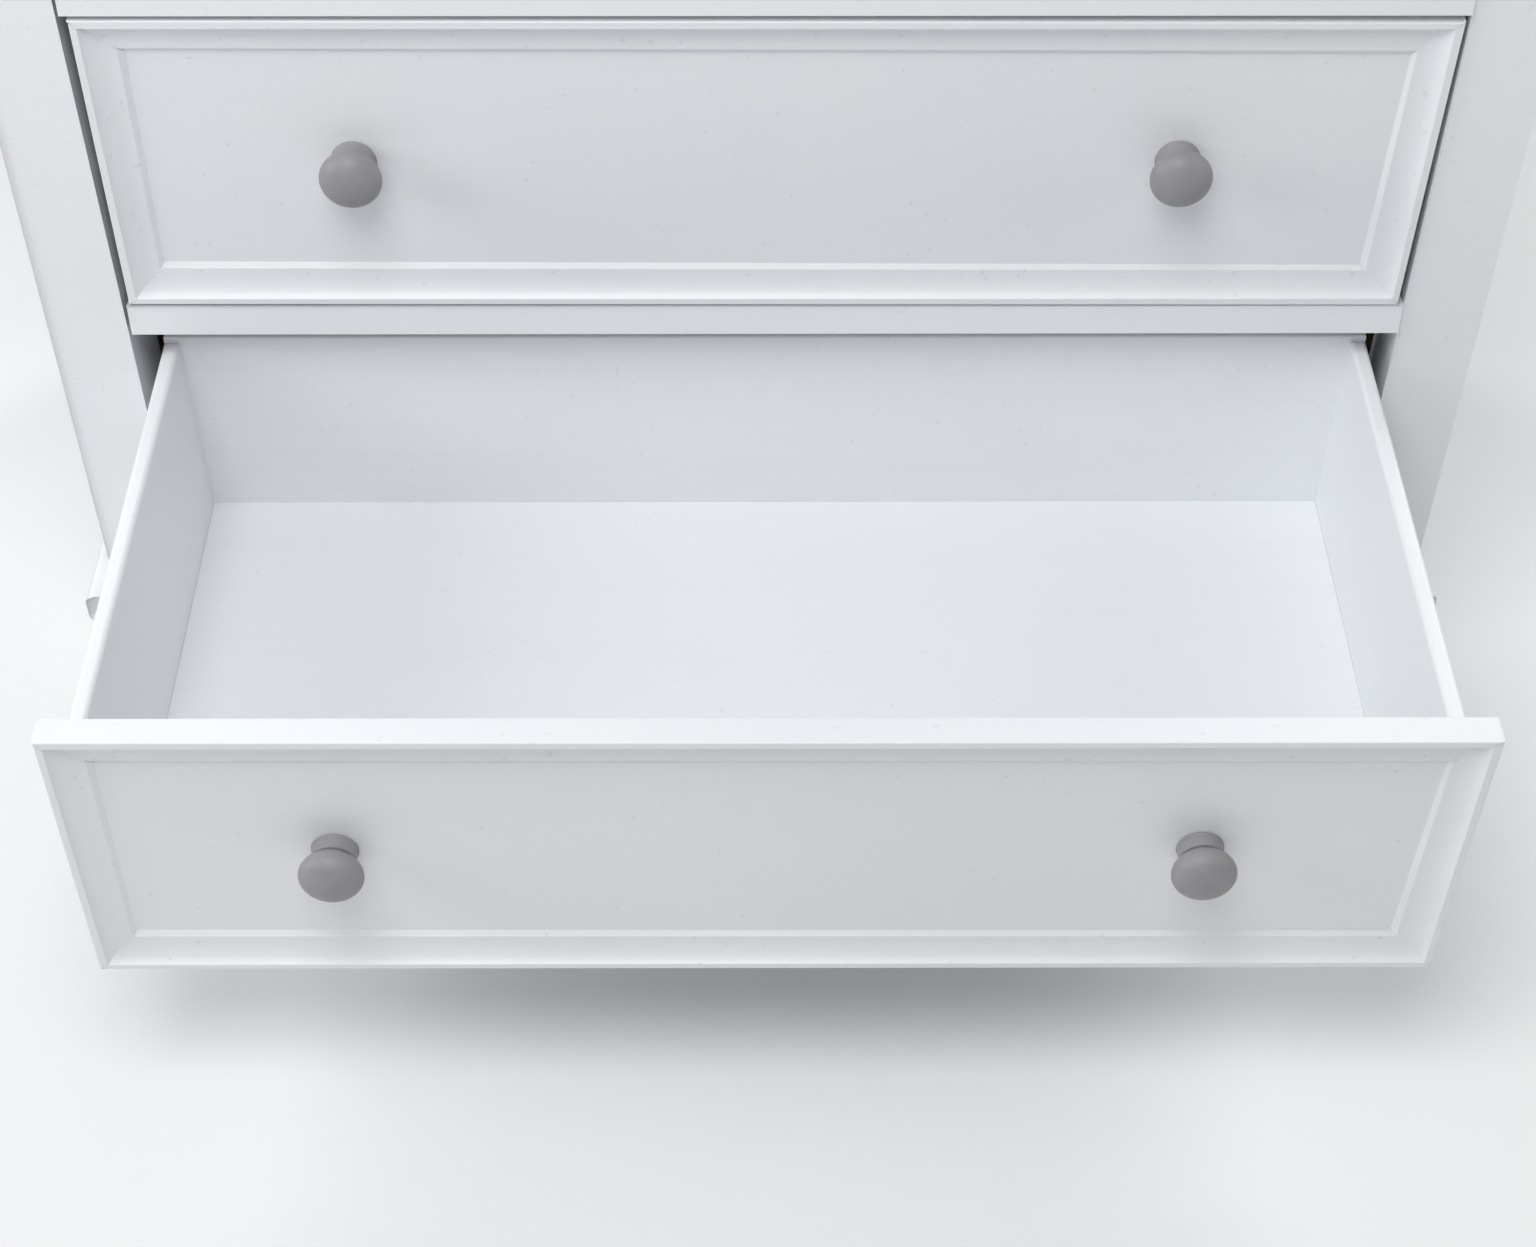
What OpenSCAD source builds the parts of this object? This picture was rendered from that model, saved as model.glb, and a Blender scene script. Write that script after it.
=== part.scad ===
// Tall chest of five drawers, with the bottom drawer standing open.
// X runs to the right, Y to the back, Z up. The origin is on the floor,
// under the middle of the case.

/* [Case] */
// Width over the corner posts
case_w = 877; // [800:1:950]
// Depth over the corner posts
case_d = 400; // [390:1:440]
// Side of the square corner posts
post_w = 51; // [44:1:56]
// Thickness of the top and base boards
board_t = 22.5; // [18:0.5:28]
// How far the boards stand out at the front and sides
overhang = 18; // [8:1:26]
// Height of the plinth frame
plinth_h = 80; // [50:1:110]
// Thickness of the plinth frame's walls
plinth_t = 19; // [15:1:24]
// Thickness of the side panels
side_panel_t = 12; // [9:1:15]
// How far the side panels sit in from the posts' outer faces
side_panel_inset = 8; // [4:1:10]
// Thickness of the back panel
back_panel_t = 5; // [3:1:8]
// Height of the rails between the drawers, and of the top rail
rail_h = 21.5; // [18:0.5:30]
// Height of the rail on the base board
low_rail_h = 14; // [10:1:20]

/* [Drawers] */
// Number of drawers
drawer_count = 5; // [5]
// Height of a drawer front
front_h = 198.5; // [180:0.5:210]
// Thickness of a drawer front
front_t = 18; // [17:0.5:22]
// Gap beside a drawer front, on both sides
reveal = 2.5; // [2:0.1:4]
// Gap above a drawer front
gap_above = 2.5; // [2:0.1:4]
// Gap under a drawer front
gap_below = 1; // [0.8:0.1:3]
// Width of the moulded border round the sunk field
border_w = 24.3; // [20:0.1:30]
// Width of the flat rim outside the cove
rim_w = 5.3; // [3:0.1:7]
// Depth of the sunk field below the rim
field_depth = 9; // [7:0.5:10]
// Thickness of the drawer box's sides and back
box_t = 10; // [9:0.5:14]
// Length of the drawer box behind its front
box_l = 340; // [300:1:345]
// How far the box's top edge lies under the front's top edge
box_drop = 17.4; // [15:0.1:24]
// Height of the drawer floor above the front's bottom edge
floor_rise = 44.5; // [38:0.5:48]
// Thickness of the drawer floor
floor_t = 6; // [4:0.5:8]
// How far the bottom drawer is pulled out
bottom_pull = 330; // [0:1:330]

/* [Knobs] */
// Distance between a drawer's two knobs
knob_spacing = 477; // [380:1:560]
// Diameter of the knob's head
knob_d = 36.2; // [30:0.1:40]
// Diameter of the knob's foot
knob_foot_d = 26.5; // [24:0.1:30]
// How far the knob stands out from the sunk field
knob_reach = 30.8; // [28:0.1:34]
// Height of the knobs' centres above a front's bottom edge
knob_rise = 100.7; // [90:0.1:110]

/* [Slides] */
// Gap for a slide between the drawer box and the case
slide_w = 12.7; // [12:0.1:13.5]
// Height of the slide's outer channel
slide_h = 45; // [40:1:48]
// Length of the slides
slide_l = 336; // [332:1:340]

/* [Hidden] */
top_level = plinth_h + board_t;
pitch = front_h + rail_h + gap_above + gap_below;
first_z = top_level + low_rail_h + gap_below;
case_top = first_z + drawer_count * pitch - gap_below;
case_h = case_top - top_level;
face_y = -case_d / 2;
back_y = case_d / 2;
bay_w = case_w - 2 * post_w;
front_w = bay_w - 2 * reveal;
box_w = bay_w - 2 * slide_w;
box_y = face_y + front_t;
floor_lift = 8;
box_low = floor_rise - floor_t - floor_lift;
box_h = front_h - box_drop - box_low;
back_lip = 3.3;
side_round = 3;
groove_d = 5;
groove_play = 0.2;
ease = 1.2;
board_corner_r = 6;
board_round = 5;
step_w = 4;
step_drop = 2.4;
cove_facets = 6;
knob_front = 11.2;
knob_rear = 12;
knob_mid = knob_reach - knob_front;
knob_neck_r = 0.4 * knob_foot_d;
knob_neck_a = acos(2 * knob_neck_r / knob_d);
knob_foot_h = 9;
knob_foot_edge = 1.2;
knob_taper = 0.9;
knob_bore_h = 17;
screw_r = 2;
screw_play = 0.1;
screw_reach = 12;
screw_head_r = 3.6;
screw_head_h = 1.8;
knob_screw_reach = 15;
knob_screw_head_r = 4;
knob_screw_head_h = 2.2;
cross_w = 0.8;
rebate_w = 10;
back_screw_rows = 6;
back_screw_margin = 40;
slide_wall = 1.2;
outer_slide_w = 9.6;
middle_slide_w = 9.4;
inner_slide_w = 8.6;
middle_slide_h = slide_h - 8;
inner_slide_h = slide_h - 18;
middle_slide_gap = 1.8;
ball_window_r = 4;
slide_z = box_low + box_h / 2;
slide_y = box_y + 2;
batten_t = case_w / 2 - side_panel_inset - side_panel_t - bay_w / 2;
tab_w = 22;
tab_t = 2;
tab_drop = 28;
tab_leg = 20;
tab_hole_r = 3;
tab_hole_y = 12;
tab_screw_drops = [9, 21];
tab_x = case_w / 2 - post_w / 2;
tab_z = case_top - 60;

DRAWER_PARTS = ["front", "side_left", "side_right", "back", "floor", "knobs", "knob_screws",
                "inner_slides", "middle_slides"];
CASE_NODES = ["front_post_left", "front_post_right", "rear_post_left", "rear_post_right",
              "side_panel_left", "side_panel_right", "back_panel", "top_board", "base_board",
              "plinth_frame", "front_rails", "slide_battens", "outer_slides",
              "rear_screws", "wall_brackets"];

// How far a cutting shape reaches past what it cuts
cut = 1;

PAINT = "#e6e9ec";
KNOB_GREY = "#929094";
STEEL = "#b4b7ba";
BACK_FOIL = "#e2e3e3";
SPRUCE = "#c9a57a";

// Lowest level and pull of drawer i, counted from the bottom
function drawer_z(i) = first_z + (i - 1) * pitch;
function pull(i) = i == 1 ? bottom_pull : 0;

// Both signs of x, for pieces that come in pairs
module both_sides() {
    for (s = [0, 1]) mirror([s, 0, 0]) children();
}

// A bar along Z from corner to corner, with its four long edges eased
module eased_post(w, d, h) {
    linear_extrude(h)
        polygon([[ease, 0], [w - ease, 0], [w, ease], [w, d - ease],
                 [w - ease, d], [ease, d], [0, d - ease], [0, ease]]);
}

// A flat outline from the origin, with the two corners at Y = 0 rounded
module arched(w, d, r) {
    translate([r, 0]) square([w - 2 * r, d]);
    translate([0, r]) square([w, d - r]);
    for (x = [r, w - r]) translate([x, r]) circle(r, $fn = 48);
}

// The top or base board at height z: round front corners in plan, rounded front and side edges
module board(z) {
    w = case_w + 2 * overhang;
    d = back_y - face_y + overhang;
    translate([-w / 2, face_y - overhang, z])
        intersection() {
            linear_extrude(board_t) arched(w, d, board_corner_r);
            translate([0, d, 0]) rotate([90, 0, 0]) linear_extrude(d) round_bar(w, board_t);
            rotate([90, 0, 90])
                linear_extrude(w)
                    translate([0, board_t]) rotate(-90) arched(board_t, d, board_round);
        }
}

// The board's section from side to side, round at both ends
module round_bar(w, h) {
    r = board_round;
    translate([r, 0]) square([w - 2 * r, h]);
    translate([0, r]) square([w, h - 2 * r]);
    for (x = [r, w - r], y = [r, h - r]) translate([x, y]) circle(r, $fn = 48);
}

// Half outline of a sunk field: a rim, a cove that flattens inwards, and a small step
function border_line(span) =
    let (cove_w = border_w - rim_w - step_w, cove_d = field_depth - step_drop)
    concat(
        [[rim_w - cut, -cut]],
        [for (k = [0:cove_facets])
            let (a = 90 * k / cove_facets)
            [rim_w + cove_w * (1 - cos(a)), cove_d * sin(a)]],
        [[border_w - step_w / 2, cove_d + step_drop / 6], [border_w, field_depth]],
        [[span / 2, field_depth]]);

// Closed outline of the hollow across the whole span, open past the face
function field_outline(span) =
    let (half = border_line(span))
    concat(half, [for (k = [len(half) - 2:-1:0]) [span - half[k][0], half[k][1]]]);

// The hollow of the sunk field: its length profile and its height profile, mitred together
module sunk_field() {
    intersection() {
        translate([-front_w / 2, 0, 0])
            linear_extrude(front_h) polygon(field_outline(front_w));
        translate([front_w / 2, 0, 0])
            rotate([0, -90, 0])
                linear_extrude(front_w) polygon(field_outline(front_h));
    }
}

module drawer_front(i) {
    color(PAINT)
        translate([0, face_y - pull(i), drawer_z(i)])
            difference() {
                translate([-front_w / 2, 0, 0]) cube([front_w, front_t, front_h]);
                sunk_field();
                floor_groove(front_t - groove_d, groove_d + cut);
                for (s = [-1, 1])
                    translate([s * knob_spacing / 2, 0, knob_rise])
                        rotate([-90, 0, 0])
                            translate([0, 0, -cut])
                                cylinder(r = screw_r + screw_play, h = front_t + 2 * cut, $fn = 32);
            }
}

// A groove for the floor's edge, across the box and from depth y for length l
module floor_groove(y, l) {
    translate([-box_w / 2 + box_t - groove_d, y, floor_rise - floor_t])
        cube([box_w - 2 * (box_t - groove_d), l, floor_t + groove_play]);
}

// The right-hand side board of drawer i, seen from the front
module box_side(i) {
    color(PAINT)
        translate([0, box_y - pull(i), drawer_z(i)])
            difference() {
                translate([box_w / 2 - box_t, box_l - box_t, box_low])
                    rotate([90, 0, 0]) linear_extrude(box_l - box_t) side_section();
                floor_groove(-cut, box_l + 2 * cut);
            }
}

// Section of a side board: its top edge is rounded over on both faces
module side_section() {
    translate([box_t, box_h]) rotate(180) arched(box_t, box_h, side_round);
}

module drawer_side_left(i) { mirror([1, 0, 0]) box_side(i); }
module drawer_side_right(i) { box_side(i); }

module drawer_back(i) {
    color(PAINT)
        translate([0, box_y - pull(i), drawer_z(i)])
            difference() {
                translate([-box_w / 2, box_l - box_t, box_low]) cube([box_w, box_t, box_h + back_lip]);
                floor_groove(box_l - box_t - cut, groove_d + cut);
            }
}

module drawer_floor(i) {
    tongue = groove_d - 0.5;
    w = box_w - 2 * box_t + 2 * tongue;
    color(PAINT)
        translate([-w / 2, box_y - pull(i) - tongue, drawer_z(i) + floor_rise - floor_t])
            cube([w, box_l - box_t + 2 * tongue, floor_t]);
}

// Turned outline of a knob: drum-shaped foot, short neck and full round head, as [radius, height]
function knob_line() =
    let (foot = knob_foot_d / 2, head = knob_d / 2, e = knob_foot_edge,
         top = foot - knob_taper, neck_z = knob_mid - knob_rear * sin(knob_neck_a))
    concat(
        [[0, 0], [foot - e / 2, 0], [foot, e], [foot, 2 * e]],
        [for (a = [0:30:90]) [top - e + e * cos(a), knob_foot_h - e + e * sin(a)]],
        [[knob_neck_r, knob_foot_h], [knob_neck_r, neck_z]],
        [for (k = [1:4]) let (a = -knob_neck_a * (1 - k / 4))
            [head * cos(a), knob_mid + knob_rear * sin(a)]],
        [for (a = [15:15:75]) [head * cos(a), knob_mid + knob_front * sin(a)]],
        [[0, knob_reach]]);

module knob() {
    difference() {
        rotate_extrude($fn = 64) polygon(knob_line());
        translate([0, 0, -cut]) cylinder(r = screw_r + screw_play, h = knob_bore_h + cut, $fn = 32);
    }
}

// Puts children at a drawer's two knob places, Z pointing out of the face
module knob_places(i, depth) {
    for (s = [-1, 1])
        translate([s * knob_spacing / 2, face_y - pull(i) + depth, drawer_z(i) + knob_rise])
            rotate([90, 0, 0]) children();
}

module drawer_knobs(i) { color(KNOB_GREY) knob_places(i, field_depth) knob(); }

// Pan-head screws that come through the front from inside the drawer
module drawer_knob_screws(i) {
    color(STEEL)
        knob_places(i, front_t) {
            cylinder(r = screw_r, h = front_t - field_depth + knob_screw_reach, $fn = 32);
            screw_head(knob_screw_head_r, knob_screw_head_h);
        }
}

// A screw's tapered head, whose inner face lies on the plane Z = 0, with a cross recess
module screw_head(r, h) {
    translate([0, 0, -h])
        difference() {
            cylinder(r1 = 0.7 * r, r2 = r, h = h, $fn = 32);
            for (a = [0, 90])
                rotate(a) translate([-r / 2, -cross_w / 2, -cut]) cube([r, cross_w, cut + h / 2]);
        }
}

// A channel along Y that opens to -X: its web starts at x, its flanges reach w from there
module channel(x, w, h, shift) {
    translate([x - w, slide_y + shift, -h / 2])
        difference() {
            cube([w, slide_l, h]);
            translate([-cut, -cut, slide_wall])
                cube([w - slide_wall + cut, slide_l + 2 * cut, h - 2 * slide_wall]);
        }
}

module slide_level(i) { translate([0, 0, drawer_z(i) + slide_z]) children(); }

// Outer members, fixed to the posts and battens
module outer_slides() {
    color(STEEL)
        for (i = [1:drawer_count])
            slide_level(i) both_sides() channel(bay_w / 2, outer_slide_w, slide_h, 0);
}

// Middle members, which run half as far as their drawer
module drawer_middle_slides(i) {
    color(STEEL)
        slide_level(i) both_sides()
            difference() {
                channel(bay_w / 2 - middle_slide_gap, middle_slide_w, middle_slide_h, -pull(i) / 2);
                for (k = [0.12, 0.5, 0.88])
                    translate([bay_w / 2 - 2 * middle_slide_gap, slide_y - pull(i) / 2 + k * slide_l, 0])
                        rotate([0, 90, 0])
                            cylinder(r = ball_window_r, h = 2 * middle_slide_gap, $fn = 32);
            }
}

// Inner members, fixed to the drawer's sides and open towards the case
module drawer_inner_slides(i) {
    color(STEEL)
        slide_level(i) both_sides()
            translate([box_w, 0, 0]) mirror([1, 0, 0])
                channel(box_w / 2, inner_slide_w, inner_slide_h, -pull(i));
}

// The four corner posts, each rebated at the rear for the back panel
module post(rear) {
    y = rear ? back_y - post_w : face_y;
    difference() {
        translate([bay_w / 2, y, top_level]) eased_post(post_w, post_w, case_h);
        if (rear) {
            translate([bay_w / 2 - cut, back_y - back_panel_t, top_level - cut])
                cube([rebate_w + cut, back_panel_t + cut, case_h + 2 * cut]);
            back_screw_places(back_panel_t) screw_hole();
            bracket_screw_places(0) screw_hole();
        }
    }
}

module front_post_left() { color(PAINT) mirror([1, 0, 0]) post(false); }
module front_post_right() { color(PAINT) post(false); }
module rear_post_left() { color(PAINT) mirror([1, 0, 0]) post(true); }
module rear_post_right() { color(PAINT) post(true); }

module side_panel() {
    color(PAINT)
        translate([case_w / 2 - side_panel_inset - side_panel_t, face_y + post_w, top_level])
            cube([side_panel_t, case_d - 2 * post_w, case_h]);
}

module side_panel_left() { mirror([1, 0, 0]) side_panel(); }
module side_panel_right() { side_panel(); }

// Puts children at the back panel's screws on the right, Z pointing into the post
module back_screw_places(depth) {
    step = (case_h - 2 * back_screw_margin) / (back_screw_rows - 1);
    for (k = [0:back_screw_rows - 1])
        translate([bay_w / 2 + rebate_w / 2, back_y - depth, top_level + back_screw_margin + k * step])
            rotate([90, 0, 0]) children();
}

module back_panel() {
    w = bay_w + 2 * (rebate_w - groove_play);
    color(BACK_FOIL)
        difference() {
            translate([-w / 2, back_y - back_panel_t, top_level]) cube([w, back_panel_t, case_h]);
            both_sides()
                back_screw_places(0) screw_hole();
        }
}

// The bracket's screws on the right-hand post, Z pointing into the post
module bracket_screw_places(depth) {
    for (drop = tab_screw_drops)
        translate([tab_x, back_y - depth, tab_z - drop]) rotate([90, 0, 0]) children();
}

// A hole for a wood screw that also passes through the sheet in front of the plane Z = 0
module screw_hole() {
    translate([0, 0, -tab_t - cut]) cylinder(r = screw_r, h = tab_t + cut + screw_reach + 2, $fn = 24);
}

// A wood screw whose head rests on the plane Z = 0
module wood_screw() {
    screw_head(screw_head_r, screw_head_h);
    cylinder(r = screw_r - screw_play / 2, h = screw_reach, $fn = 24);
}

// The screws at the rear: those of the back panel and of the wall brackets
module rear_screws() {
    color(STEEL)
        both_sides() {
            back_screw_places(0) wood_screw();
            bracket_screw_places(-tab_t) wood_screw();
        }
}

module top_board() { color(PAINT) board(case_top); }
module base_board() { color(PAINT) board(plinth_h); }

module plinth_frame() {
    color(PAINT)
        difference() {
            translate([-case_w / 2, face_y, 0]) cube([case_w, case_d, plinth_h]);
            translate([-case_w / 2 + plinth_t, face_y + plinth_t, -cut])
                cube([case_w - 2 * plinth_t, case_d - 2 * plinth_t, plinth_h + 2 * cut]);
        }
}

// Level of the underside of the rail above drawer i
function rail_z(i) = drawer_z(i) + front_h + gap_above;

module front_rails() {
    color(PAINT) {
        translate([-bay_w / 2, face_y, top_level]) cube([bay_w, post_w, low_rail_h]);
        for (i = [1:drawer_count])
            translate([-bay_w / 2, face_y, rail_z(i)]) cube([bay_w, post_w, rail_h]);
    }
}

// Battens between the posts, flush with their inner faces, that carry the slides
module slide_battens() {
    color(SPRUCE)
        for (i = [1:drawer_count])
            slide_level(i) both_sides()
                translate([bay_w / 2, face_y + post_w, -slide_h / 2])
                    cube([batten_t, case_d - 2 * post_w, slide_h]);
}

// Angle brackets high on the rear posts, which tie the chest to a wall
module wall_brackets() {
    color(STEEL)
        both_sides()
            translate([tab_x - tab_w / 2, back_y, tab_z])
                difference() {
                    union() {
                        translate([0, 0, -tab_drop]) cube([tab_w, tab_t, tab_drop + tab_t]);
                        cube([tab_w, tab_leg, tab_t]);
                    }
                    translate([tab_w / 2, tab_hole_y, -cut])
                        cylinder(r = tab_hole_r, h = tab_t + 2 * cut, $fn = 32);
                    translate([tab_w / 2 - tab_x, -back_y, -tab_z])
                        bracket_screw_places(-tab_t) screw_hole();
                }
}

front_post_left();
front_post_right();
rear_post_left();
rear_post_right();
side_panel_left();
side_panel_right();
back_panel();
top_board();
base_board();
plinth_frame();
front_rails();
slide_battens();
outer_slides();
rear_screws();
wall_brackets();
for (i = [1:drawer_count]) {
    drawer_front(i);
    drawer_side_left(i);
    drawer_side_right(i);
    drawer_back(i);
    drawer_floor(i);
    drawer_knobs(i);
    drawer_knob_screws(i);
    drawer_inner_slides(i);
    drawer_middle_slides(i);
}
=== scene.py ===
import math

import bmesh
import bpy
from mathutils import Matrix, Vector


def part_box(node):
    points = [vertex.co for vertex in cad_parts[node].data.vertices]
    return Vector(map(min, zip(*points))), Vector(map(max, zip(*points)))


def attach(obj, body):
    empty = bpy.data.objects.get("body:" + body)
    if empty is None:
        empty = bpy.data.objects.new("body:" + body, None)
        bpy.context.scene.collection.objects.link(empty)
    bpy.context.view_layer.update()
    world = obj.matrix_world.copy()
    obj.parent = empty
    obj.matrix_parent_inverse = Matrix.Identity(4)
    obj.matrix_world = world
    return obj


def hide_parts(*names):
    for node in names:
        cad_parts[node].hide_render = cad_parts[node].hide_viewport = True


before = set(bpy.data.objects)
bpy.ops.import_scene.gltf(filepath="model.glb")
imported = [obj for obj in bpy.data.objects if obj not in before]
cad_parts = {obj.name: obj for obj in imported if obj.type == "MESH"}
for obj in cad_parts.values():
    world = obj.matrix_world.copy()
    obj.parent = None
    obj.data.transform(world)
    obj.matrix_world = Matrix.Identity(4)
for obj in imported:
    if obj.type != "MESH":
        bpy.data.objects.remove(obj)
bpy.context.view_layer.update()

drawerNumbers = range(1, 6)  # from the bottom up
mm = 0.001
print("frame loaded")


# ---- camera, light and floor ----

camera = {
    "place": (-0.0067, -1.3897, 1.2924),
    "down": 45.91,  # degrees below the horizon
    "aside": 0.418,
    "roll": -0.195,
    "lens": 58.44,
}
studio = {
    "skyColour": (0.98, 0.98, 1.0),
    "skyStrength": 0.2,
    "floorSize": 30.0,
    "floorColour": (0.86, 0.865, 0.87),
}
lamps = {
    # place, aim, size and power of each soft lamp
    "key": ((-0.25, -1.1, 2.05), (0.0, -0.35, 0.35), 1.1, 20.0),
    "left": ((-2.2, -0.8, 1.3), (0.0, -0.35, 0.35), 1.2, 18.0),
    "right": ((2.2, -0.45, 1.3), (0.0, -0.35, 0.35), 1.2, 7.5),
    "front": ((-0.6, -3.0, 1.8), (0.0, -0.35, 0.35), 2.0, 10.5),
    # these light the floor behind the chest and hardly reach its front
    "rearLeft": ((-2.0, 1.7, 1.9), (-0.9, 0.7, 0.0), 1.4, 24.0),
    "rearRight": ((2.0, 1.7, 1.9), (0.9, 0.7, 0.0), 1.4, 34.0),
}


def makeCamera(look):
    down, aside, roll = (math.radians(look[k]) for k in ("down", "aside", "roll"))
    ahead = Vector((math.sin(aside) * math.cos(down), math.cos(aside) * math.cos(down), -math.sin(down)))
    level = Vector((math.cos(aside), -math.sin(aside), 0))
    drop = ahead.cross(level)
    right = level * math.cos(roll) + drop * math.sin(roll)
    under = drop * math.cos(roll) - level * math.sin(roll)
    data = bpy.data.cameras.new("camera")
    data.lens = look["lens"]
    data.sensor_width = 36
    data.clip_start = 0.05
    thing = bpy.data.objects.new("camera", data)
    turn = Matrix((right, -under, -ahead)).transposed().to_4x4()
    thing.matrix_world = Matrix.Translation(look["place"]) @ turn
    bpy.context.scene.collection.objects.link(thing)
    bpy.context.scene.camera = thing


def makeStudio(look):
    scene = bpy.context.scene
    scene.view_settings.view_transform = "Standard"
    scene.view_settings.look = "None"
    world = bpy.data.worlds.new("studio")
    scene.world = world
    world.use_nodes = True
    sky = world.node_tree.nodes["Background"]
    sky.inputs["Color"].default_value = (*look["skyColour"], 1)
    sky.inputs["Strength"].default_value = look["skyStrength"]


def makeLamp(name, spot, aim, size, power):
    lamp = bpy.data.lights.new(name, "AREA")
    lamp.shape = "DISK"
    lamp.size = size
    lamp.energy = power
    thing = bpy.data.objects.new(name, lamp)
    thing.location = spot
    thing.rotation_euler = (Vector(aim) - Vector(spot)).to_track_quat("-Z", "Y").to_euler()
    thing.visible_camera = False
    bpy.context.scene.collection.objects.link(thing)


makeCamera(camera)
makeStudio(studio)
for name, facts in lamps.items():
    makeLamp(name, *facts)


# ---- materials ----

class Wire:  # a node's output that can stand in an ordinary sum
    def __init__(self, shader, socket):
        self.shader, self.socket = shader, socket

    def maths(self, operation, first, second):
        return self.shader.add("ShaderNodeMath", {"operation": operation}, {0: first, 1: second})

    def __add__(self, other):
        return self.maths("ADD", self, other)

    __radd__ = __add__

    def __mul__(self, other):
        return self.maths("MULTIPLY", self, other)

    __rmul__ = __mul__

    def __lt__(self, other):
        return self.maths("LESS_THAN", self, other)


class Shader:  # a material and what its nodes are made with
    def __init__(self, name, fixed):
        self.material = bpy.data.materials.new(name)
        self.material.use_nodes = True
        self.tree = self.material.node_tree
        self.surface = self.tree.nodes["Principled BSDF"]
        for socket, value in fixed.items():
            self.surface.inputs[socket].default_value = value
        self.place = self.add("ShaderNodeTexCoord", out="Object")

    def add(self, kind, settings=None, values=None, out=0):
        node = self.tree.nodes.new(kind)
        for name, value in (settings or {}).items():
            if name == "stops":
                ramp = node.color_ramp.elements
                for stop, (where, shade) in zip(ramp, value):
                    stop.position, stop.color = where, (*shade, 1)
            else:
                setattr(node, name, value)
        for name, value in (values or {}).items():
            self.feed(node.inputs[name], value)
        return Wire(self, node.outputs[out])

    def feed(self, socket, value):
        if isinstance(value, Wire):
            self.tree.links.new(value.socket, socket)
        else:
            socket.default_value = value

    def stretched(self, scale):  # object coordinates squeezed along each axis
        return self.add("ShaderNodeMapping", {}, {"Vector": self.place, "Scale": scale})

    def noise(self, scale, detail=2.0, rough=0.5, where=None):
        values = {"Vector": where or self.place, "Scale": scale, "Detail": detail, "Roughness": rough}
        return self.add("ShaderNodeTexNoise", {}, values)

    def ramp(self, value, low, high):  # 0 at low, 1 at high
        values = {"Value": value, "From Min": low, "From Max": high}
        return self.add("ShaderNodeMapRange", {"clamp": True}, values)

    def mix(self, share, first, second):
        first, second = (c if isinstance(c, Wire) else (*c, 1) for c in (first, second))
        return self.add("ShaderNodeMix", {"data_type": "RGBA"}, {0: share, 6: first, 7: second}, out=2)

    def edges(self, low, high):  # where the surface turns a convex edge
        return self.ramp(self.add("ShaderNodeNewGeometry", out="Pointiness"), low, high)

    def finish(self, colour, rough, height=None, depth=0.0001, strength=1.0):
        self.feed(self.surface.inputs["Base Color"], colour)
        self.feed(self.surface.inputs["Roughness"], rough)
        if height is not None:
            values = {"Height": height, "Distance": depth, "Strength": strength}
            self.feed(self.surface.inputs["Normal"], self.add("ShaderNodeBump", {}, values))
        return self.material


paint = {
    "colour": (0.81, 0.825, 0.845),
    "cloud": (0.787, 0.805, 0.83),  # a slightly thinner coat
    # painted highlight: a lighter colour for the convex edges, standing in for light caught on the rounded edges
    "edge": (0.84, 0.86, 0.88),
    "nib": (0.62, 0.62, 0.62),  # dust caught in the coat
    "rough": 0.36,
    "peel": 1100.0,  # sprayed texture, per metre
    "peelDepth": 0.00003,
}


def satinPaint(name, look, grain=None, grainShare=0.0):
    s = Shader(name, {"IOR": 1.46})
    cloud = s.noise(5, 3)
    colour = s.mix(s.ramp(cloud, 0.35, 0.65), look["colour"], look["cloud"])
    height = s.noise(look["peel"], 2) * 0.6 + s.noise(look["peel"] * 0.22, 1) * 0.9
    if grain:
        streak = s.noise(1, 4, 0.6, s.stretched(grain))
        colour = s.mix(s.ramp(streak, 0.5, 0.75) * grainShare, colour, look["nib"])
        height = height + streak * 3
    nib = s.ramp(s.noise(240, 0), 0.80, 0.83)
    colour = s.mix(nib * 0.35, colour, look["nib"])
    # painted highlight: convex edges (found by pointiness) are lightened towards the edge colour
    colour = s.mix(s.edges(0.52, 0.6) * 0.6, colour, look["edge"])
    rough = look["rough"] + s.noise(60, 2) * 0.08 + nib * 0.1
    return s.finish(colour, rough, height + nib * 2, look["peelDepth"])


knobPaint = {
    "colour": (0.262, 0.257, 0.266),
    "thin": (0.30, 0.295, 0.30),
    "rough": 0.42,
    "rings": 900.0,  # lathe marks, per metre along the knob
    "depth": 0.00003,
}


def greyPaint(name, look):
    s = Shader(name, {"IOR": 1.46})
    rings = s.noise(1, 2, 0.5, s.stretched((25, look["rings"], 25)))
    cloud = s.noise(70, 3)
    colour = s.mix(s.ramp(cloud, 0.3, 0.7), look["colour"], look["thin"])
    colour = s.mix(s.ramp(rings, 0.55, 0.8) * 0.25, colour, look["thin"])
    rough = look["rough"] + cloud * 0.1
    return s.finish(colour, rough, rings + s.noise(1300, 2) * 0.5, look["depth"])


zinc = {
    "colour": (0.60, 0.61, 0.63),
    "warm": (0.63, 0.61, 0.55),
    "scuff": (0.42, 0.42, 0.43),
    "rough": 0.30,
    "brush": (600, 4, 600),
}


def zincPlate(name, look):
    s = Shader(name, {"Metallic": 1.0})
    brush = s.noise(1, 3, 0.6, s.stretched(look["brush"]))
    colour = s.mix(s.ramp(s.noise(14, 3), 0.35, 0.65), look["colour"], look["warm"])
    scuff = s.ramp(s.noise(90, 5, 0.7), 0.62, 0.72)
    colour = s.mix(scuff * 0.4, colour, look["scuff"])
    rough = look["rough"] + brush * 0.2 + scuff * 0.15
    return s.finish(colour, rough, brush, 0.00002)


fibreboard = {
    "colour": (0.30, 0.205, 0.125),
    "light": (0.40, 0.29, 0.19),
    "dark": (0.17, 0.11, 0.065),
    "rough": 0.85,
}


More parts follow.
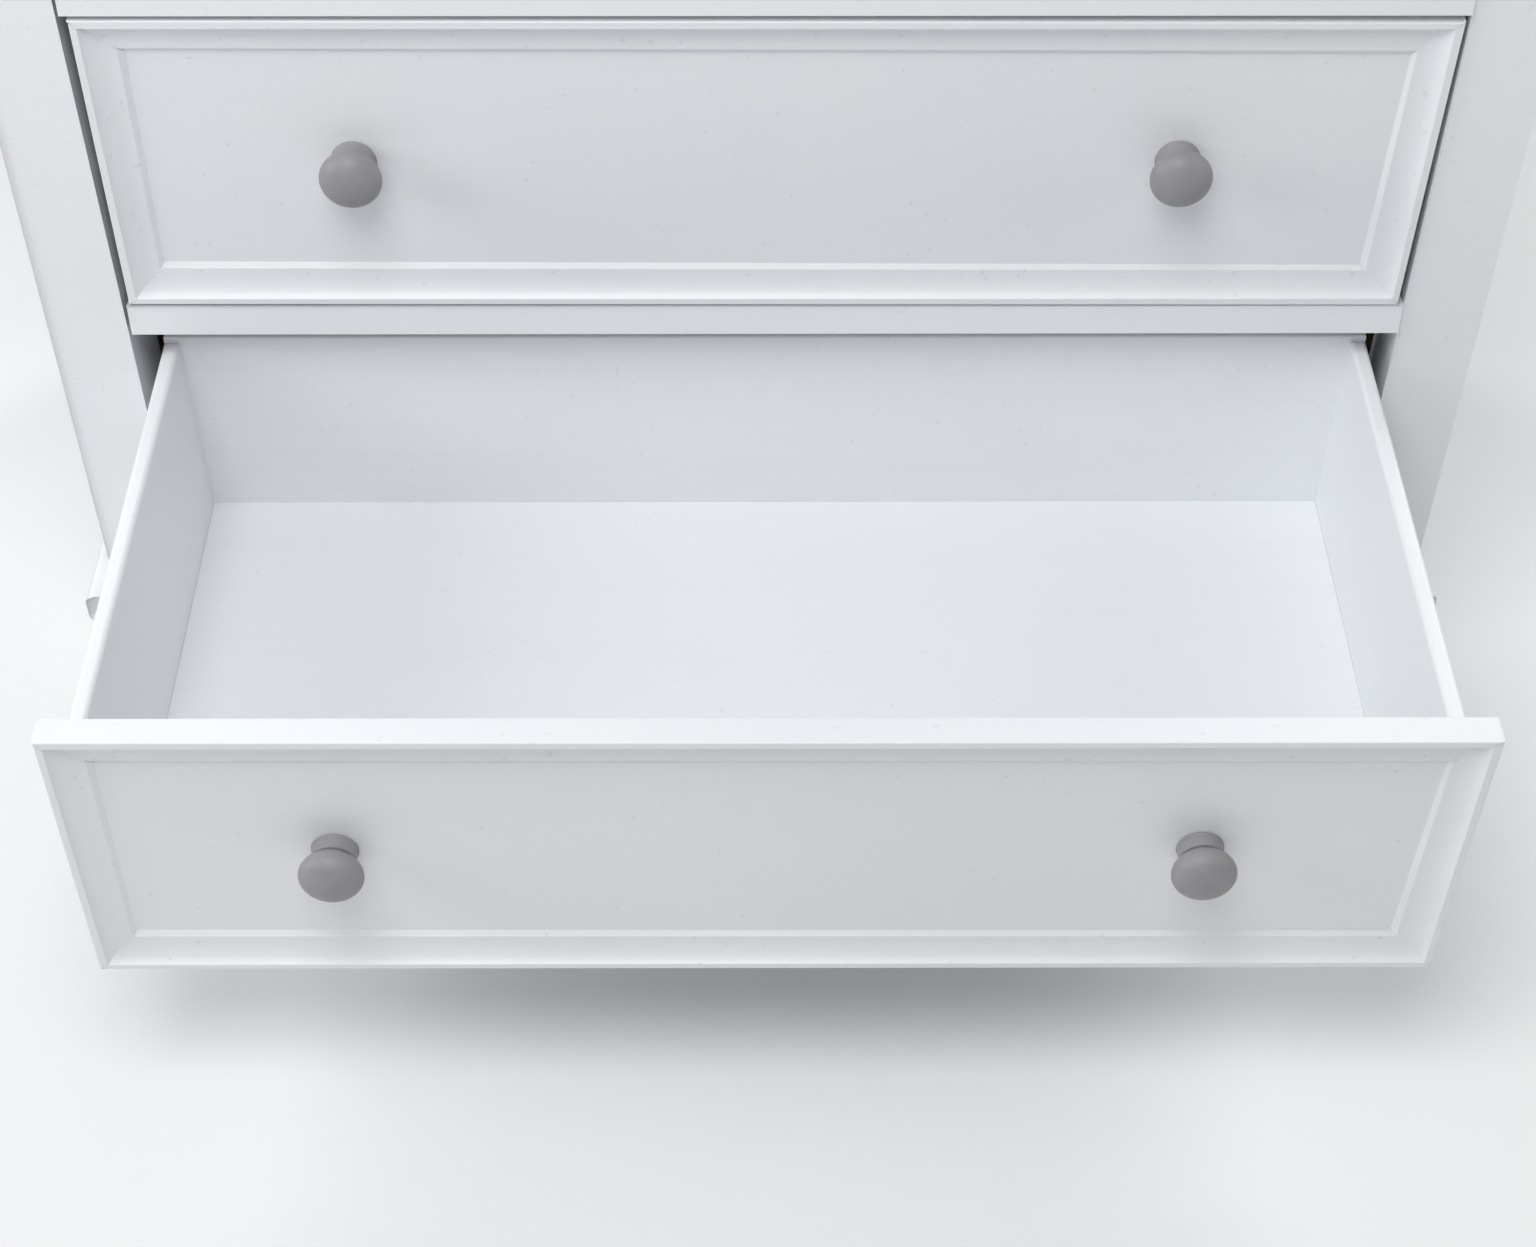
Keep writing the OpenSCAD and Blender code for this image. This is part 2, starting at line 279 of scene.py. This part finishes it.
def rawFibreboard(s, look):  # bare brown board inside the case
    fibres = s.noise(420, 6, 0.75)
    colour = s.mix(s.ramp(fibres, 0.4, 0.62), look["dark"], look["colour"])
    return s.mix(s.ramp(s.noise(1500, 2), 0.55, 0.75), colour, look["light"])


def faced(name, look, bare, side):
    # one face painted or foiled, the rest bare; side makes the 0-to-1 mask of the bare part
    s = Shader(name, {"IOR": 1.46})
    mask = side(s, *(s.add("ShaderNodeSeparateXYZ", {}, {0: s.place}, out=axis) for axis in "XY"))
    cloud = s.mix(s.ramp(s.noise(4, 3), 0.35, 0.65), look["colour"], look["cloud"])
    colour = s.mix(mask, cloud, rawFibreboard(s, bare))
    rough = look["rough"] + mask * (bare["rough"] - look["rough"])
    height = s.noise(look["peel"], 2) * 0.6 + mask * s.noise(420, 6, 0.75) * 4
    return s.finish(colour, rough, height, look["peelDepth"])


spruce = {
    "early": (0.62, 0.46, 0.29),
    "late": (0.42, 0.27, 0.15),
    "knot": (0.24, 0.13, 0.07),
    "rough": 0.7,
}


def bareSpruce(name, look):
    s = Shader(name, {"IOR": 1.5})
    flow = s.noise(1, 3, 0.5, s.stretched((9, 1.3, 9)))
    rings = s.noise(1, 2, 0.4, s.stretched((130, 3, 130)))
    pores = s.noise(1, 2, 0.5, s.stretched((1600, 40, 1600)))
    colour = s.mix(s.ramp(rings + flow * 0.4, 0.55, 0.85), look["early"], look["late"])
    colour = s.mix(s.ramp(s.noise(9, 0), 0.78, 0.84), colour, look["knot"])
    return s.finish(colour, look["rough"] + rings * 0.1, rings + pores, 0.00006)


floorPaint = {"cloud": 0.985, "rough": 0.75}


def floorFinish(name, look):
    s = Shader(name, {})
    base = studio["floorColour"]
    dim = tuple(c * look["cloud"] for c in base)
    colour = s.mix(s.ramp(s.noise(0.8, 3), 0.3, 0.7), base, dim)
    return s.finish(colour, look["rough"], s.noise(300, 2), 0.00003)


sidePanelLow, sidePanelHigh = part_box("side_panel_right")
backLow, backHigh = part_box("back_panel")


def insideOfSide(s, x, y):
    return s.add("ShaderNodeMath", {"operation": "ABSOLUTE"}, {0: x}) < sidePanelLow.x + 0.5 * mm


def insideOfBack(s, x, y):
    return y < backHigh.y - 0.5 * mm


finishes = {
    "white": satinPaint("satinWhite", paint),
    "boxWhite": satinPaint("boxWhite", paint, (60, 2.4, 60), 0.10),
    "floorWhite": satinPaint("floorWhite", paint, (2.4, 70, 70), 0.10),
    "knob": greyPaint("knobGrey", knobPaint),
    "zinc": zincPlate("zincPlate", zinc),
    "side": faced("sidePanel", paint, fibreboard, insideOfSide),
    "back": faced("backPanel", paint | {"rough": 0.5}, fibreboard, insideOfBack),
    "spruce": bareSpruce("bareSpruce", spruce),
}
print("materials made")


# ---- shaping tools ----

def roundSection(corners, steps=5):
    # corners are (x, y, radius) in order; each becomes an arc
    points = []
    count = len(corners)
    for k, (x, y, radius) in enumerate(corners):
        here = Vector((x, y))
        before = (Vector(corners[k - 1][:2]) - here).normalized()
        after = (Vector(corners[(k + 1) % count][:2]) - here).normalized()
        if radius <= 0:
            points.append(here)
            continue
        half = before.angle(after) / 2
        centre = here + (before + after).normalized() * radius / math.sin(half)
        start = here + before * radius / math.tan(half) - centre
        turn = math.pi - 2 * half
        way = 1 if start.x * after.y - start.y * after.x > 0 else -1
        for j in range(steps + 1):
            a = way * turn * j / steps
            points.append(centre + Vector((start.x * math.cos(a) - start.y * math.sin(a),
                                           start.x * math.sin(a) + start.y * math.cos(a))))
    return points


def boxSection(low, high, radius):
    radii = radius if isinstance(radius, (tuple, list)) else (radius,) * 4
    corners = ((low[0], low[1]), (high[0], low[1]), (high[0], high[1]), (low[0], high[1]))
    return [(*c, r) for c, r in zip(corners, radii)]


def loft(mesh, rings, closed=False):
    # joins rings of equal length with quads, and closes the two ends unless the rings come round
    rows = [[mesh.verts.new(p) for p in ring] for ring in rings]
    count = len(rows[0])
    pairs = list(zip(rows, rows[1:])) + ([(rows[-1], rows[0])] if closed else [])
    for first, second in pairs:
        for k in range(count):
            n = (k + 1) % count
            mesh.faces.new((first[k], first[n], second[n], second[k]))
    if not closed:
        mesh.faces.new(rows[0])
        mesh.faces.new(list(reversed(rows[-1])))


def along(axis):
    # a function that sets a section point at a height along x, y or z
    return {
        "x": lambda p, h: (h, p[0], p[1]),
        "y": lambda p, h: (p[0], h, p[1]),
        "z": lambda p, h: (p[0], p[1], h),
    }[axis]


def bar(mesh, section, axis, start, stop):
    put = along(axis)
    loft(mesh, [[put(p, h) for p in section] for h in (start, stop)])


def pillow(mesh, low, high, axis, radius, rim, steps=4):
    # a board lying across an axis, its outline's corners round by radius and its rims round by rim
    put = along(axis)
    flat = [k for k in range(3) if "xyz"[k] != axis]
    tall = "xyz".index(axis)
    lo2, hi2 = ([v[k] for k in flat] for v in (low, high))
    turns = [math.pi / 2 * k / steps for k in range(steps + 1)]
    lowSide = [(rim * (1 - math.sin(a)), low[tall] + rim * (1 - math.cos(a))) for a in turns]
    highSide = [(rim * (1 - math.cos(a)), high[tall] - rim * (1 - math.sin(a))) for a in turns]
    rings = []
    for inset, height in lowSide + highSide:
        section = roundSection(boxSection([c + inset for c in lo2], [c - inset for c in hi2],
                                          [max(r - inset, 0.2 * mm) for r in radius]), 6)
        rings.append([put(p, height) for p in section])
    loft(mesh, rings)


def easedBoard(mesh, low, high, ease, steps=3, chosen=None):
    corners = bmesh.ops.create_cube(mesh, size=1)["verts"]
    for v in corners:
        v.co = Vector([low[k] if v.co[k] < 0 else high[k] for k in range(3)])
    edges = {e for v in corners for e in v.link_edges}
    picked = [e for e in edges if chosen is None or chosen(e)]
    bmesh.ops.bevel(mesh, geom=picked, offset=ease, segments=steps, profile=0.5, affect="EDGES")


def lathe(mesh, outline, centre, steps=56):
    # outline is (radius, reach); reach runs along -Y from the centre
    rings = []
    for radius, reach in outline:
        turn = [2 * math.pi * k / steps for k in range(steps)]
        rings.append([(centre[0] + radius * math.cos(a), centre[1] - reach, centre[2] + radius * math.sin(a))
                      for a in turn])
    loft(mesh, rings)


def sharpen(mesh, limit):
    for e in mesh.edges:
        e.smooth = len(e.link_faces) != 2 or e.calc_face_angle(0) < limit


def settle(thing):
    # turns a piece with modifiers into a plain mesh
    graph = bpy.context.evaluated_depsgraph_get()
    mesh = bpy.data.meshes.new_from_object(thing.evaluated_get(graph))
    thing.modifiers.clear()
    thing.data = mesh


def place(name, mesh, finish, body, slot, nodes, limit=38):
    bmesh.ops.remove_doubles(mesh, verts=mesh.verts, dist=1e-7)
    bmesh.ops.recalc_face_normals(mesh, faces=mesh.faces)
    for f in mesh.faces:
        f.smooth = True
    sharpen(mesh, math.radians(limit))
    data = bpy.data.meshes.new(name)
    mesh.to_mesh(data)
    mesh.free()
    thing = bpy.data.objects.new(name, data)
    bpy.context.scene.collection.objects.link(thing)
    data.materials.append(finishes[finish])
    weigh = thing.modifiers.new("weigh", "WEIGHTED_NORMAL")
    weigh.keep_sharp = True
    settle(thing)
    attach(thing, body)
    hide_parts(*nodes)
    return thing


def refinish(node, finish):
    # a CAD piece whose shape is right keeps it and gets its finish here
    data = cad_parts[node].data
    data.materials.clear()
    data.materials.append(finishes[finish])


# ---- case ----

case = {
    "postEase": 1.8 * mm,
    "railEase": 0.7 * mm,
    "boardCorner": 6 * mm,
    "boardRim": 5 * mm,
    "plinthWall": 19 * mm,
    "plinthEase": 1.5 * mm,
    "gapAbove": 2.5 * mm,  # between a drawer front and the rail over it
    "gapBelow": 1.0 * mm,
}


def casePiece(name, mesh):
    place(name + "Piece", mesh, "white", "case", "white_paint", [name])


def makePosts(look):
    ease = look["postEase"]
    for side in ("left", "right"):
        low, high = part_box("front_post_" + side)
        mesh = bmesh.new()
        bar(mesh, roundSection(boxSection(low, high, ease)), "z", low.z, high.z)
        casePiece("front_post_" + side, mesh)

        # the rear post's section is cut back for the panel on its inner rear corner
        low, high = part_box("rear_post_" + side)
        mesh = bmesh.new()
        inner, outer = (high.x, low.x) if side == "left" else (low.x, high.x)
        panelEdge = math.copysign(backHigh.x, inner) + math.copysign(0.2 * mm, inner)
        section = [(inner, low.y, ease), (outer, low.y, ease), (outer, high.y, ease),
                   (panelEdge, high.y, 0), (panelEdge, backLow.y, 0), (inner, backLow.y, 0)]
        bar(mesh, roundSection(section), "z", low.z, high.z)
        casePiece("rear_post_" + side, mesh)


def makeBoards(look):
    corner, small = look["boardCorner"], 1.5 * mm
    for name in ("top_board", "base_board"):
        low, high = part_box(name)
        mesh = bmesh.new()
        pillow(mesh, low, high, "z", (corner, corner, small, small), look["boardRim"], 5)
        casePiece(name, mesh)


def makePlinth(look):
    low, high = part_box("plinth_frame")
    wall, ease = look["plinthWall"], look["plinthEase"]
    profile = roundSection([(0, low.z, ease), (wall, low.z, ease), (wall, high.z, 0), (0, high.z, 0)], 4)
    rings = []
    for sx, sy in ((0, 0), (1, 0), (1, 1), (0, 1)):
        rings.append([((high.x - p.x) if sx else (low.x + p.x), (high.y - p.x) if sy else (low.y + p.x), p.y)
                      for p in profile])
    mesh = bmesh.new()
    loft(mesh, rings, closed=True)
    casePiece("plinth_frame", mesh)


def makeRails(look):
    low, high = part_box("front_rails")
    mesh = bmesh.new()
    spans = [(low.z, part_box("drawer_1_front")[0].z - look["gapBelow"])]
    for n in drawerNumbers:
        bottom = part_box(f"drawer_{n}_front")[1].z + look["gapAbove"]
        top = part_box(f"drawer_{n + 1}_front")[0].z - look["gapBelow"] if n < 5 else high.z
        spans.append((bottom, top))
    for bottom, top in spans:
        ease = look["railEase"]
        section = roundSection([(low.y, bottom, ease), (high.y, bottom, ease), (high.y, top, ease), (low.y, top, ease)])
        bar(mesh, section, "x", low.x, high.x)
    casePiece("front_rails", mesh)


makePosts(case)
makeBoards(case)
makePlinth(case)
makeRails(case)
for side in ("left", "right"):
    refinish("side_panel_" + side, "side")
refinish("back_panel", "back")
refinish("slide_battens", "spruce")
refinish("outer_slides", "zinc")
refinish("wall_brackets", "zinc")
print("case made")


# ---- drawers ----

front = {
    "thick": 18 * mm,
    "edge": 0.7 * mm,  # round on the outer edges
    "rim": 5.3 * mm,
    "cove": (15.0 * mm, 6.6 * mm),  # width and depth
    "bead": (1.5 * mm, 0.5 * mm),  # the small round at the cove's inner edge
    "fall": (1.4 * mm, 1.3 * mm),
    "fillet": (1.1 * mm, 0.6 * mm),  # where the fall meets the field
    "steps": 8,
}


def frontProfile(look):
    # (inset, depth, corner radius) from the back of the board, round its edge and into the field
    thick, edge, steps = look["thick"], look["edge"], look["steps"]
    quarter = [math.pi / 2 * k / steps for k in range(1, steps + 1)]
    rings = [(0.8 * mm, thick, 0.4 * mm), (0, thick - 0.8 * mm, 0.8 * mm), (0, edge, 0.8 * mm)]
    rings += [(edge * (1 - math.cos(a)), edge * (1 - math.sin(a)), 0.8 * mm) for a in quarter]
    inset, depth = look["rim"], 0
    rings.append((inset - 0.5 * mm, depth, 0.4 * mm))
    wide, deep = look["cove"]
    rings += [(inset + wide * (1 - math.cos(a)), depth + deep * math.sin(a), 0.4 * mm) for a in quarter]
    inset, depth = inset + wide, depth + deep
    wide, deep = look["bead"]
    rings += [(inset + wide * math.sin(a), depth + deep * (1 - math.cos(a)), 1.2 * mm) for a in quarter]
    inset, depth = inset + wide, depth + deep
    wide, deep = look["fall"]
    inset, depth = inset + wide, depth + deep
    wide, deep = look["fillet"]
    rings += [(inset + wide * (1 - math.cos(a)), depth + deep * math.sin(a), 1.8 * mm) for a in quarter]
    inset, depth = inset + wide, depth + deep
    rings.append((inset + 1.2 * mm, depth, 1.8 * mm))
    return rings


def makeFront(n, look):
    name = f"drawer_{n}_front"
    low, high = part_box(name)
    mesh = bmesh.new()
    rings = []
    for inset, depth, radius in frontProfile(look):
        section = roundSection(boxSection((low.x + inset, low.z + inset), (high.x - inset, high.z - inset), radius), 4)
        rings.append([(p.x, low.y + depth, p.y) for p in section])
    loft(mesh, rings)
    place(name + "Piece", mesh, "white", f"drawer_{n}", "white_paint", [name])


box = {"topRound": 3 * mm, "backEase": 1.4 * mm, "ease": 0.5 * mm}


def makeBox(n, look):
    body = f"drawer_{n}"
    for side in ("left", "right"):
        name = f"{body}_side_{side}"
        low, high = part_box(name)

        def topEdge(e):
            # the long top edges and the one across the rear end
            middle = (e.verts[0].co + e.verts[1].co) / 2
            return middle.z > high.z - mm and middle.y > low.y + mm

        mesh = bmesh.new()
        easedBoard(mesh, low, high, look["topRound"], 6, topEdge)
        place(name + "Piece", mesh, "boxWhite", body, "white_paint", [name])

    name = body + "_back"
    low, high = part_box(name)
    mesh = bmesh.new()
    easedBoard(mesh, low, high, look["backEase"], 3)
    place(name + "Piece", mesh, "floorWhite", body, "white_paint", [name])

    # the floor shows only between the box's inner faces
    name = body + "_floor"
    low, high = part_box(name)
    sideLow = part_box(f"{body}_side_right")[0]
    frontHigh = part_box(f"{body}_front")[1]
    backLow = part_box(f"{body}_back")[0]
    mesh = bmesh.new()
    easedBoard(mesh, (-sideLow.x, frontHigh.y, low.z), (sideLow.x, backLow.y, high.z), look["ease"], 2)
    place(name + "Piece", mesh, "floorWhite", body, "white_paint", [name])


knob = {
    "foot": 13.25 * mm,
    "bead": (1.1 * mm, 1.3 * mm),  # the ring at the foot: roundness out and up
    "drum": 12.35 * mm,  # the foot's radius under the neck
    "shoulder": 1.2 * mm,
    "footHeight": 9.0 * mm,
    "neck": 10.6 * mm,
    "head": 18.1 * mm,
    "reach": 30.8 * mm,
    "middle": 19.6 * mm,  # where the head is widest
    "rear": 12.0 * mm,
}


def knobOutline(look):
    head, middle, shoulder = look["head"], look["middle"], look["shoulder"]
    wide, tall = look["bead"]
    outline = [(0.2 * mm, 0), (look["foot"] - wide, 0)]
    for k in range(7):
        a = math.radians(-60 + 130 * k / 6)
        outline.append((look["foot"] - wide * (1 - math.cos(a)), tall * (1 + math.sin(a))))
    outline.append((look["foot"] - 0.45 * mm, 2.25 * tall))
    for k in range(7):
        a = math.pi / 2 * k / 6
        r = look["drum"] - shoulder * (1 - math.cos(a))
        outline.append((r, look["footHeight"] - shoulder * (1 - math.sin(a))))
    outline.append((look["neck"], look["footHeight"]))
    start = -math.acos(look["neck"] / head)
    for k in range(33):
        a = start + (math.radians(89) - start) * k / 32
        thick = look["rear"] if a < 0 else look["reach"] - middle
        outline.append((head * math.cos(a), middle + thick * math.sin(a)))
    outline.append((0.2 * mm, look["reach"]))
    return outline


def knobPlaces(n):
    # both knobs' centres, on the sunk field
    low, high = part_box(f"drawer_{n}_knobs")
    reach = (high.x - low.x) / 2 - knob["head"]
    return [Vector((s * reach, high.y, (low.z + high.z) / 2)) for s in (-1, 1)]


def makeKnobs(n, look):
    name = f"drawer_{n}_knobs"
    mesh = bmesh.new()
    for centre in knobPlaces(n):
        lathe(mesh, knobOutline(look), centre)
    place(name + "Piece", mesh, "knob", f"drawer_{n}", "grey_paint", [name], 50)


# ---- screws ----

screwTree = {
    "seed": 7,
    "sides": 32,
}
knobScrew = {"radius": 4.0 * mm, "height": 2.2 * mm, "shank": 2.0 * mm, "length": 24 * mm, "cross": 0.8 * mm}
woodScrew = {"radius": 3.6 * mm, "height": 1.8 * mm, "shank": 1.9 * mm, "length": 12 * mm, "cross": 0.7 * mm}
screwInputs = {
    "Head Radius": "radius",
    "Head Height": "height",
    "Shank Radius": "shank",
    "Shank Length": "length",
    "Cross Width": "cross",
}


def screwNodes(look):
    # puts a cross-head screw on each point of the host, its head towards +Y, turned at random
    tree = bpy.data.node_groups.new("screws", "GeometryNodeTree")
    face = tree.interface
    face.new_socket("Geometry", in_out="INPUT", socket_type="NodeSocketGeometry")
    for name in screwInputs:
        face.new_socket(name, in_out="INPUT", socket_type="NodeSocketFloat")
    face.new_socket("Seed", in_out="INPUT", socket_type="NodeSocketInt").default_value = look["seed"]
    face.new_socket("Finish", in_out="INPUT", socket_type="NodeSocketMaterial")
    face.new_socket("Geometry", in_out="OUTPUT", socket_type="NodeSocketGeometry")

    def add(kind, settings=None, values=None):
        node = tree.nodes.new(kind)
        for name, value in (settings or {}).items():
            setattr(node, name, value)
        for name, value in (values or {}).items():
            for one in value if isinstance(value, list) else [value]:
                if isinstance(one, bpy.types.NodeSocket):
                    tree.links.new(one, node.inputs[name])
                else:
                    node.inputs[name].default_value = one
        return node.outputs[0] if node.outputs else node

    given = tree.nodes.new("NodeGroupInput").outputs

    def times(value, factor):
        return add("ShaderNodeMath", {"operation": "MULTIPLY"}, {0: value, 1: factor})

    def vector(x, y, z):
        return add("ShaderNodeCombineXYZ", {}, {0: x, 1: y, 2: z})

    def moved(shape, place=None, turn=None, scale=None):
        values = {"Translation": place, "Rotation": turn, "Scale": scale}
        values = {name: value for name, value in values.items() if value is not None}
        return add("GeometryNodeTransform", {}, {"Geometry": shape} | values)

    radius, height = given["Head Radius"], given["Head Height"]
    ball = add("GeometryNodeMeshUVSphere", {}, {"Segments": look["sides"], "Rings": 16, "Radius": 1.0})
    dome = moved(ball, scale=vector(radius, radius, height))
    slotSize = vector(times(radius, 1.05), given["Cross Width"], height)
    slot = moved(add("GeometryNodeMeshCube", {}, {"Size": slotSize}), place=vector(0.0, 0.0, height))
    across = moved(slot, turn=(0, 0, math.pi / 2))
    head = add("GeometryNodeMeshBoolean", {"operation": "DIFFERENCE"}, {0: dome, 1: [slot, across]})
    rod = {"Vertices": look["sides"], "Radius": given["Shank Radius"], "Depth": given["Shank Length"]}
    shank = moved(add("GeometryNodeMeshCylinder", {}, rod), place=vector(0.0, 0.0, times(given["Shank Length"], -0.5)))
    screw = add("GeometryNodeJoinGeometry", {}, {0: [head, shank]})
    spin = tree.nodes.new("FunctionNodeRandomValue")
    spin.data_type = "FLOAT"
    spin.inputs[2].default_value, spin.inputs[3].default_value = 0.0, math.tau
    tree.links.new(given["Seed"], spin.inputs["Seed"])
    upright = add("GeometryNodeInstanceOnPoints", {},
                  {"Points": given["Geometry"], "Instance": screw, "Rotation": (-math.pi / 2, 0, 0)})
    turned = add("GeometryNodeRotateInstances", {},
                 {"Instances": upright, "Rotation": vector(0.0, 0.0, spin.outputs[1])})
    whole = add("GeometryNodeRealizeInstances", {}, {"Geometry": turned})
    coated = add("GeometryNodeSetMaterial", {}, {"Geometry": whole, "Material": given["Finish"]})
    result = tree.nodes.new("NodeGroupOutput")
    tree.links.new(coated, result.inputs["Geometry"])
    return tree


def makeScrews(tree, node, places, body, look):
    data = bpy.data.meshes.new(node)
    data.from_pydata(places, [], [])
    thing = bpy.data.objects.new(node + "Piece", data)
    bpy.context.scene.collection.objects.link(thing)
    change = thing.modifiers.new("screws", "NODES")
    change.node_group = tree
    given = {s.name: s.identifier for s in tree.interface.items_tree if s.in_out == "INPUT"}
    for name, key in screwInputs.items():
        change[given[name]] = look[key]
    change[given["Seed"]] = screwTree["seed"]
    change[given["Finish"]] = finishes["zinc"]
    settle(thing)
    mesh = bmesh.new()
    mesh.from_mesh(thing.data)
    for f in mesh.faces:
        f.smooth = True
    sharpen(mesh, math.radians(40))
    mesh.to_mesh(thing.data)
    mesh.free()
    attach(thing, body)
    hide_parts(node)


screws = screwNodes(screwTree)


def rearScrewPlaces():
    # six down each side of the back panel, and two in each wall bracket
    low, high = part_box("rear_screws")
    reach = high.x - woodScrew["radius"]
    panel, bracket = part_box("back_panel"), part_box("wall_brackets")
    rows = 6
    first, last = panel[0].z + 40 * mm, panel[1].z - 40 * mm
    column = panel[1].x - 4.8 * mm
    places = []
    for side in (-1, 1):
        for k in range(rows):
            places.append((side * column, panel[1].y, first + (last - first) * k / (rows - 1)))
        for drop in (9, 21):
            places.append((side * reach, bracket[0].y + 2 * mm, bracket[1].z - (2 + drop) * mm))
    return places


makeScrews(screws, "rear_screws", rearScrewPlaces(), "case", woodScrew)
print("screws made")


for n in drawerNumbers:
    makeFront(n, front)
    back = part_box(f"drawer_{n}_front")[1].y
    heads = [(p.x, back, p.z) for p in knobPlaces(n)]
    makeScrews(screws, f"drawer_{n}_knob_screws", heads, f"drawer_{n}", knobScrew)
    makeBox(n, box)
    makeKnobs(n, knob)
    for part in ("inner_slides", "middle_slides"):
        refinish(f"drawer_{n}_{part}", "zinc")
print("drawers made")


# ---- floor of the studio ----

def makeFloor(look):
    mesh = bmesh.new()
    bmesh.ops.create_grid(mesh, x_segments=2, y_segments=2, size=look["floorSize"] / 2)
    data = bpy.data.meshes.new("floor")
    mesh.to_mesh(data)
    mesh.free()
    thing = bpy.data.objects.new("floor", data)
    data.materials.append(floorFinish("floorPaint", floorPaint))
    bpy.context.scene.collection.objects.link(thing)


makeFloor(studio)

print("done")
